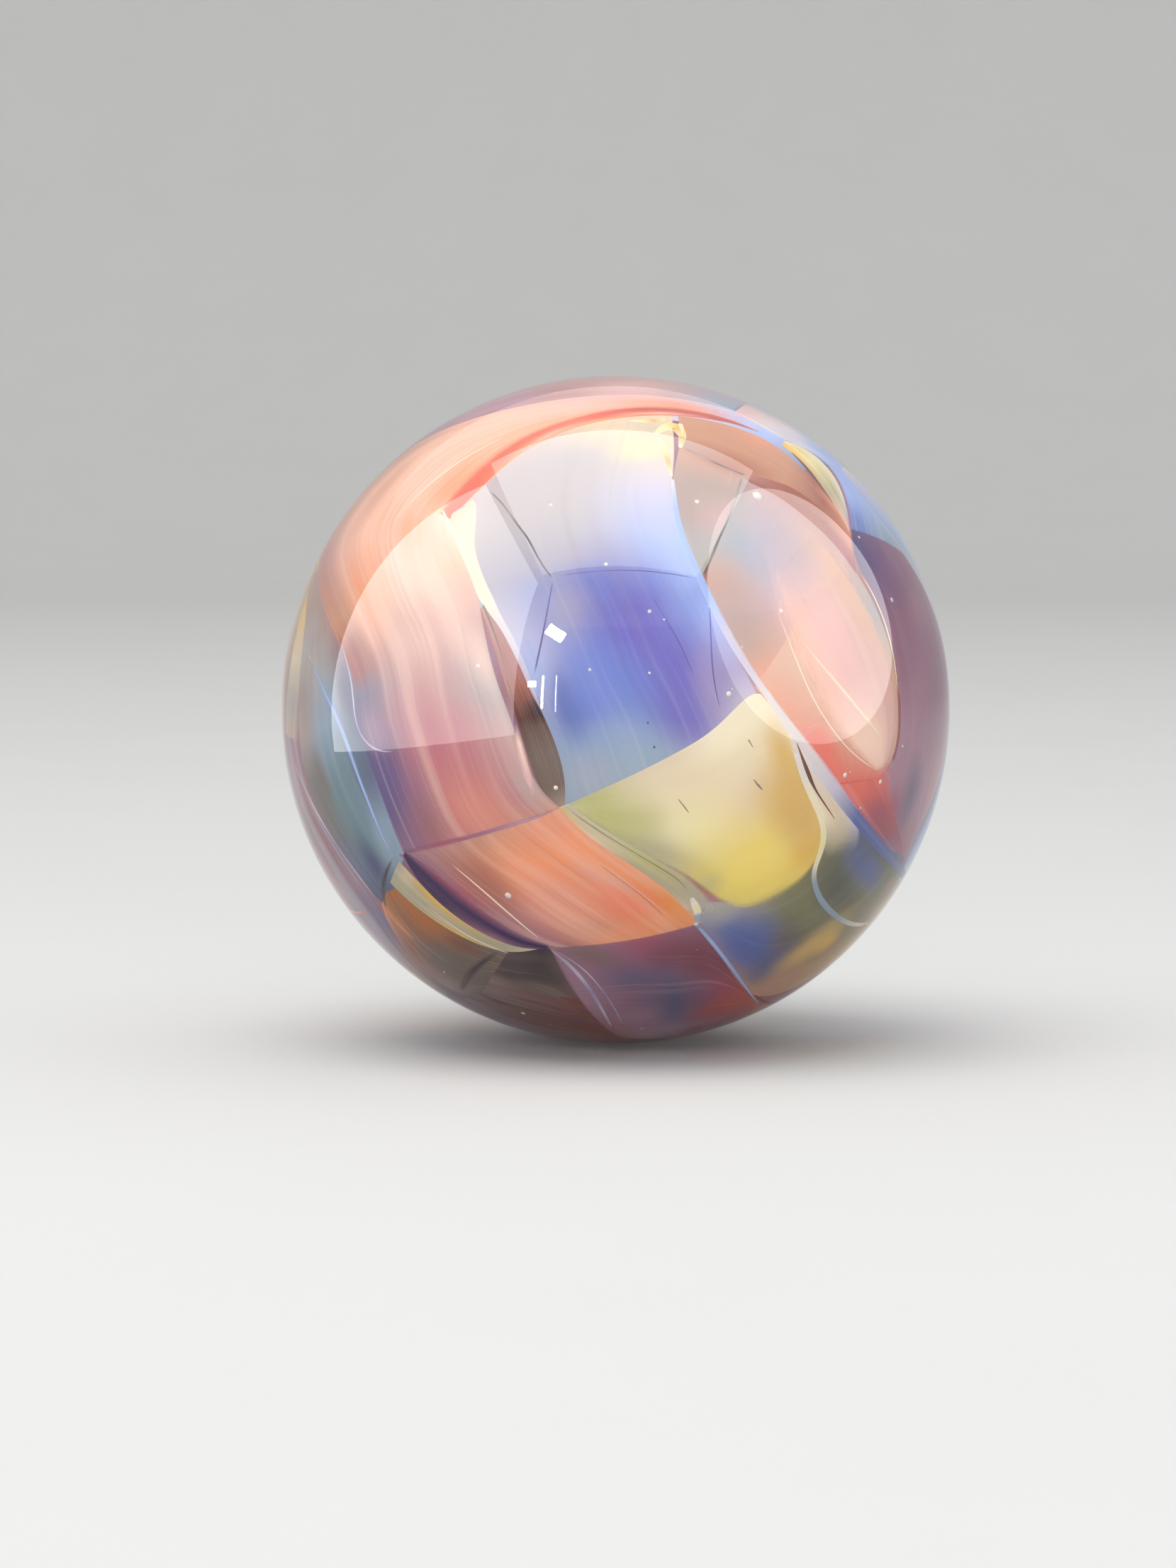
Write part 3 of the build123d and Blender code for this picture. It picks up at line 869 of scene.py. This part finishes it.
veil(ROUND, "west_fold",
     "-30 70 -90, -26 52 -90, -16 36 -90, -6 20 -90, 0 2 -90, -2 -16 -90, -10 -32 -90,"
     "-20 -48 -90, -24 -62 -90",
     "2 80 -90, 8 62 -90, 18 44 -90, 24 26 -90, 26 6 -90, 22 -14 -90, 14 -32 -90, 6 -50 -90,"
     "2 -66 -90", (95.6, 96, 95.4),
     "peach, pink, salmon, coral, rose, plum, mauve/pale_peach, peach, pink, salmon, rose, mauve/"
     "ochre, tan, khaki, taupe, slate, teal, steel",
     ink="pale_peach", share=0.35, count=6, seed=22.0)
veil(ROUND, "west_steel",
     "-60 60 -90, -58 40 -90, -52 22 -90, -46 4 -90, -46 -14 -90, -50 -32 -90, -54 -50 -90",
     "-24 62 -90, -20 46 -90, -10 30 -90, -2 12 -90, 0 -6 -90, -6 -24 -90, -14 -42 -90",
     (93.8, 94.2, 94.4),
     "slate, steel, teal, cobalt, indigo, plum/light_steel, steel, sky, steel, teal, slate/"
     "lilac_white, sky, light_steel, grey_lilac, mauve",
     ink="light_steel", share=0.3, count=6, seed=23.0)
veil(ROUND, "crown",
     "-60 72, -36 84, -8 88, 20 88, 46 80, 62 66",
     "60 66 180, 40 78 180, 12 84 180, -16 84 180, -42 76 180, -60 62 180", (92.4, 92.8, 92.4),
     "mauve, dusty_rose, pink, lilac_white, sky, slate/rose, salmon, peach, lilac_white, sky/"
     "plum, mauve, dusty_pink, light_steel, slate", ink="white", share=0.3, count=6, seed=24.0)
veil(ROUND, "keel",
     "-66 -66, -40 -82, -10 -88, 20 -88, 46 -80, 66 -62",
     "62 -66 180, 38 -82 180, 10 -88 180, -20 -88 180, -44 -80 180, -62 -64 180",
     (91.6, 92, 91.6),
     "plum, smoke, rust, maroon, red, plum/indigo, plum, maroon, raspberry, amber/"
     "slate, indigo, plum, maroon, terracotta", ink="mauve", share=0.3, count=6, seed=25.0)

SEEDS = "-46.5 3.5 .9, -43.5 4.7 .55, -43 2.5 .6, -41 .6 .7, -40.8 2.8 .35, -47 5.7 .3," \
        "-42.5 13.5 1.1, -41 14.6 .5, -70 16 .7, -20 63 .8, 25 64 1, -3 45 .8, 10.5 30.5 .8," \
        "15 28 .6, 10.5 11.5 .6, 21 11 .4, 39 19.5 .5, 51 30.5 .9, 53 32 .6, 84 33.5 1.1," \
        "82 32 .6, 74 52.5 .9, 35 5 1, 36 6.5 .6, 70.5 -20 1, 72 -19 .6, 81.5 -7 .5," \
        "87.5 -11 .8, 81 -22 .9, 75 -30 .5, -18.5 -24 1, -33 -57 1.5, -49 -27 .4, -65 -12 .5," \
        "-62 -14 .4, -52 -79.5 .8, -28 -92 .8, -30 -96 .6, 8 -96.5 .6, 27 -79 .4, 25 -73.5 .4," \
        "-66.5 -65.5 .5, -8 12.5 .6, 43.5 65.5 1.9, 63.5 71 .5"
DUST = "-83 -27.5 .5, 20.5 47 .5, 85.5 12 .7, 86.5 9 .4, 88 -6 .5, 14 18 .5, 12 -11.5 .6," \
       "2 -10 .4, 10 -4 .6, 11 96 .7, -35 -58.5 .7, -60 55 .3, 30 -40 .3, 17 -83 .5," \
       "-38 -2 .3, -36 -6 .3, 66 -14 .3"


# ---------------------------------------------------------------- building

def round_ends(near, far, at, reach=0.12):
    """Draws both ends of a veil in to a round tip: its half width falls as a quarter ellipse."""
    share = np.clip(1 - np.minimum(at, 1 - at) / reach, 0, 1)
    wide = np.maximum(np.sqrt(1 - share ** 2), 0.03)[:, None]
    mid = unit(near + far)
    return unit(mid + (near - mid) * wide), unit(mid + (far - mid) * wide)


def build_veils(group, turn=0.0, roll=1.0, names=None):
    """Makes each veil of a group as its own piece, turned round the ball if asked."""
    sizes = bpy.context.scene.marble_sizes
    at = np.linspace(0, 1, sizes.rows)
    for name, (near, far, depth, runs, how) in group.items():
        if names is not None and name not in names:
            continue
        title = names[name] if names else name
        edges = [unit(flow(bearings(read_line(line), d, turn, roll), at))
                 for line, d in ((near, depth[0]), (far, depth[2]))]
        if group is ROUND or (names and name not in CUT_STRAIGHT):
            edges = round_ends(*edges, at)
        sunk = [d - (BACK_SINK if names else 0.0) for d in depth]
        sheet = closed_sheet(*edges, sunk, sizes.sheet, sizes.sway, how.get("seed", 0.0))
        make_piece(title, [sheet], opal(title, runs, depth[1], turn=turn, roll=roll, **how),
                   across=14)


def read_spots(text, depth):
    """Places and sizes from words: "12 34 .5" is where a spot shows and its relative size."""
    rows = np.array(read_line(text))
    return bearings(rows[:, :2], depth) * depth * RADIUS, rows[:, 2]


def small_balls(text, depth, size):
    """Little closed balls under the skin, one for each spot."""
    balls = []
    for centre, scale in zip(*read_spots(text, depth)):
        verts, quads, tips, uv = ball_surface(size * scale, 12, 8)
        balls.append((verts + centre, quads, tips, uv))
    return balls


def lamp(name, size, toward, distance, energy, gloss=True, twist=0.0):
    """A soft rectangular lamp at a distance along a direction from the ball, facing it."""
    data = bpy.data.lights.new(name, "AREA")
    data.shape = "RECTANGLE"
    data.size, data.size_y = size
    data.energy = energy
    obj = bpy.data.objects.new(name, data)
    bpy.context.scene.collection.objects.link(obj)
    place = Vector(toward).normalized() * distance
    facing = (-place).to_track_quat("-Z", "Y").to_matrix()
    obj.location = place
    obj.rotation_euler = (facing @ Matrix.Rotation(twist, 3, "Z")).to_euler()
    obj.visible_camera = False
    obj.visible_transmission = False
    obj.visible_diffuse = not gloss
    obj.visible_glossy = gloss
    return obj


def panel_lamp(name, centre, size, faces, energy, shape="RECTANGLE"):
    """A gloss-only panel standing square to an axis."""
    obj = lamp(name, size, centre, Vector(centre).length, energy)
    obj.data.shape = shape
    obj.rotation_euler = faces.to_track_quat("-Z", "Y").to_euler()


class MARBLE_OT_clear_ball(bpy.types.Operator):
    """Adds the clear glass ball"""
    bl_idname = "marble.clear_ball"
    bl_label = "Clear Ball"

    def execute(self, context):
        t = Tree("clear_glass")
        glass = t.node("ShaderNodeBsdfPrincipled", None,
                       {"Base Color": (1, 1, 1, 1), "Roughness": 0.0, "IOR": GLASS_INDEX,
                        "Transmission Weight": 1.0})
        shadow = t.node("ShaderNodeLightPath", out=1)
        clear = t.node("ShaderNodeBsdfTransparent", None, {"Color": (1, 1, 1, 1)})
        skin = ball_surface(RADIUS, 320, 160, context.scene.marble_sizes.ripple)
        ball = make_piece("clear_ball", [skin],
                          t.finish(t.node("ShaderNodeMixShader", None, [shadow, glass, clear])))
        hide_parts(NODE)
        return {"FINISHED"}


class MARBLE_OT_deep_heart(bpy.types.Operator):
    """Adds a core deep in the ball that shows between the veils, in deep glass colours with painted
    shade for the dim depth
    """
    bl_idname = "marble.deep_heart"
    bl_label = "Deep Heart"

    def execute(self, context):
        heart = context.scene.marble_sizes.heart
        # Painted shade: the heart's maroon, plum and slate stand for the dim depth seen between the
        # veils, over deep glass colours.
        t = Tree("deep_glass_and_painted_shade")
        n = t.noise(t.place(), 150.0, 3.0)
        colour = t.node("ShaderNodeValToRGB", {"stops": run_of(
            "maroon .3, plum .45, terracotta .55, mauve .65, slate .8")}, [n])
        make_piece("deep_heart", [ball_surface(RADIUS * heart, 96, 48, 0.02)], t.finish(
            t.node("ShaderNodeBsdfPrincipled", None, {
                "Base Color": colour, "Roughness": 0.7, "Specular IOR Level": 0.0})))
        return {"FINISHED"}


class MARBLE_OT_front_veils(bpy.types.Operator):
    """Adds the opal veils of the front"""
    bl_idname = "marble.front_veils"
    bl_label = "Front Veils"

    def execute(self, context):
        build_veils(FRONT)
        return {"FINISHED"}


class MARBLE_OT_round_veils(bpy.types.Operator):
    """Adds the opal veils of the sides, top and underside, and the front's folds again behind"""
    bl_idname = "marble.round_veils"
    bl_label = "Round Veils"

    def execute(self, context):
        build_veils(ROUND)
        build_veils(FRONT, BACK_TURN, -1.0, BACK)
        return {"FINISHED"}


class MARBLE_OT_threads(bpy.types.Operator):
    """Adds the fine threads, seams and slits that lie along the veils' edges"""
    bl_idname = "marble.threads"
    bl_label = "Threads"

    def execute(self, context):
        thick = context.scene.marble_sizes.sheet * 0.6
        for name, (depth, colours, soft, lines) in THREADS.items():
            sides = ((0.0, 1.0), (BACK_TURN, -1.0)) if name in BOTH_SIDES else ((0.0, 1.0),)
            parts = [ribbon(read_line(line), [float(w) for w in widths.split()], depth, thick,
                            turn, roll) for turn, roll in sides for line, widths in lines]
            make_piece(name, parts, opal(name, colours, depth, ink="white", share=0.15,
                                         count=2, hair=0.0, soft=soft), across=4)
        return {"FINISHED"}


class MARBLE_OT_seeds(bpy.types.Operator):
    """Adds the seed bubbles and specks of dark dust"""
    bl_idname = "marble.seeds"
    bl_label = "Seeds"

    def execute(self, context):
        size = context.scene.marble_sizes.bubble
        for name, text, light, dark in (("seed_bubbles", SEEDS, "cream", "white"),
                                        ("dust_specks", DUST, "smoke", "navy")):
            t = Tree(name)
            colour = t.blend(t.rise(t.noise(t.place(), 2500.0, 1.0), 0.35, 0.65),
                             tone(light), tone(dark))
            make_piece(name, small_balls(text, SEED_DEPTH, size), t.finish(
                t.node("ShaderNodeBsdfPrincipled", None, {
                    "Base Color": colour, "Roughness": 0.3})))
        return {"FINISHED"}


def round_sweep(flat, wall, height, columns=96):
    """Verts and faces of a round floor that rises as a quarter circle into a wall.

    Past radius flat the floor turns up: while an angle goes from zero to a right angle, its
    radius grows by the bend times the sine and its height by the bend times one less the
    cosine, the bend being wall less flat. The wall then stands up to height.
    """
    a = np.linspace(0, np.pi / 2, 24)
    bend = wall - flat
    r = np.concatenate([[0.01, 0.3, 0.7], flat + bend * np.sin(a), [wall]])
    z = np.concatenate([[0, 0, 0], bend - bend * np.cos(a), [height]]) + LOW[2]
    at = np.linspace(0, 2 * np.pi, columns, endpoint=False)
    verts = np.stack(np.broadcast_arrays(r[:, None] * np.cos(at), r[:, None] * np.sin(at),
                                         z[:, None]), -1).reshape(-1, 3)
    i = np.arange(len(r) - 1)[:, None] * columns
    j = np.arange(columns)[None, :]
    k = (j + 1) % columns
    quads = np.stack([i + j, i + columns + j, i + columns + k, i + k], -1).reshape(-1, 4)
    return verts.tolist(), quads.tolist() + [list(range(columns))]


def place_camera():
    """Adds the camera on the front's sight line."""
    cam = bpy.data.cameras.new("camera")
    cam.sensor_width, cam.lens = SENSOR, LENS
    cam.clip_start, cam.clip_end = 0.01, 10
    obj = bpy.data.objects.new("camera", cam)
    bpy.context.scene.collection.objects.link(obj)
    obj.location = (0, -SIGHT * math.cos(FRONT_TILT), SIGHT * math.sin(FRONT_TILT))
    obj.rotation_euler = (math.pi / 2 - FRONT_TILT - CAMERA_DIP, 0, CAMERA_YAW)
    bpy.context.scene.camera = obj


class MARBLE_OT_stage(bpy.types.Operator):
    """Adds the floor, backdrop, lamps and camera"""
    bl_idname = "marble.stage"
    bl_label = "Stage"

    def execute(self, context):
        t = Tree("pale_sweep")
        n = t.noise(t.place(), 40.0, 2.0)
        colour = t.blend(n, (0.64, 0.64, 0.635), (0.66, 0.66, 0.655))
        sheet = t.finish(t.node("ShaderNodeBsdfPrincipled", None, {
            "Base Color": colour, "Roughness": 0.9, "Specular IOR Level": 0.1}))
        verts, faces = round_sweep(1.0, 1.5, 0.9)
        mesh = bpy.data.meshes.new("sweep")
        mesh.from_pydata(verts, [], faces)
        mesh.polygons.foreach_set("use_smooth", np.full(len(faces), True))
        mesh.materials.append(sheet)
        obj = bpy.data.objects.new("sweep", mesh)
        context.scene.collection.objects.link(obj)

        world = bpy.data.worlds.new("soft_room")
        context.scene.world = world
        world.use_nodes = True
        background = world.node_tree.nodes["Background"]
        background.inputs["Color"].default_value = (1, 1, 1, 1)
        background.inputs["Strength"].default_value = 0.92
        lamp("top_lamp", (0.5, 0.5), (-0.1, -0.15, 0.6), 0.62, 2.0, gloss=False)
        lamp("front_fill", (0.5, 0.4), (0.05, -0.6, -0.01), 0.6, 2.0, gloss=False)
        panel_lamp("left_wall", (-0.112, -0.072, 0.087), (0.205, 0.21), Vector((1, 0, 0)), 0.50)
        panel_lamp("right_wall", (0.123, -0.055, 0.107), (0.24, 0.25), Vector((-1, 0, 0)), 0.46,
                   "ELLIPSE")
        panel_lamp("ceiling", (0.007, -0.05, 0.205), (0.226, 0.24), Vector((0, 0, -1)), 0.44)
        lamp("window", (0.027, 0.015), (-0.327, -0.845, 0.464), 0.25, 0.25, twist=-0.5)
        lamp("window_bar", (0.0028, 0.045), (-0.395, -0.90, 0.145), 0.25, 0.05)
        lamp("window_edge", (0.002, 0.05), (-0.325, -0.93, 0.14), 0.25, 0.006)
        lamp("window_corner", (0.012, 0.008), (-0.455, -0.88, 0.19), 0.25, 0.02)
        place_camera()
        context.scene.view_settings.view_transform = "Standard"
        context.scene.cycles.transparent_max_bounces = 32
        return {"FINISHED"}


BUILDERS = (MARBLE_OT_clear_ball, MARBLE_OT_deep_heart, MARBLE_OT_front_veils,
            MARBLE_OT_round_veils, MARBLE_OT_threads, MARBLE_OT_seeds, MARBLE_OT_stage)


class MARBLE_PT_panel(bpy.types.Panel):
    """Lists the marble's builders, sizes and colours"""
    bl_idname = "MARBLE_PT_panel"
    bl_label = "Glass Marble"
    bl_space_type = "VIEW_3D"
    bl_region_type = "UI"
    bl_category = "Marble"

    def draw(self, context):
        for builder in BUILDERS:
            self.layout.operator(builder.bl_idname)
        for group in (context.scene.marble_sizes, context.scene.marble_colours):
            box = self.layout.box()
            for key in group.bl_rna.properties.keys():
                if key not in ("rna_type", "name"):
                    box.prop(group, key)


CLASSES = (MarbleSizes, MarbleColours, *BUILDERS, MARBLE_PT_panel)


def register():
    for cls in CLASSES:
        bpy.utils.register_class(cls)
    bpy.types.Scene.marble_sizes = PointerProperty(type=MarbleSizes)
    bpy.types.Scene.marble_colours = PointerProperty(type=MarbleColours)


def unregister():
    del bpy.types.Scene.marble_sizes
    del bpy.types.Scene.marble_colours
    for cls in reversed(CLASSES):
        bpy.utils.unregister_class(cls)


def main():
    """Registers the add-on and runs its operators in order."""
    register()
    for builder in BUILDERS:
        group, name = builder.bl_idname.split(".")
        getattr(getattr(bpy.ops, group), name)()


if __name__ == "__main__":
    main()
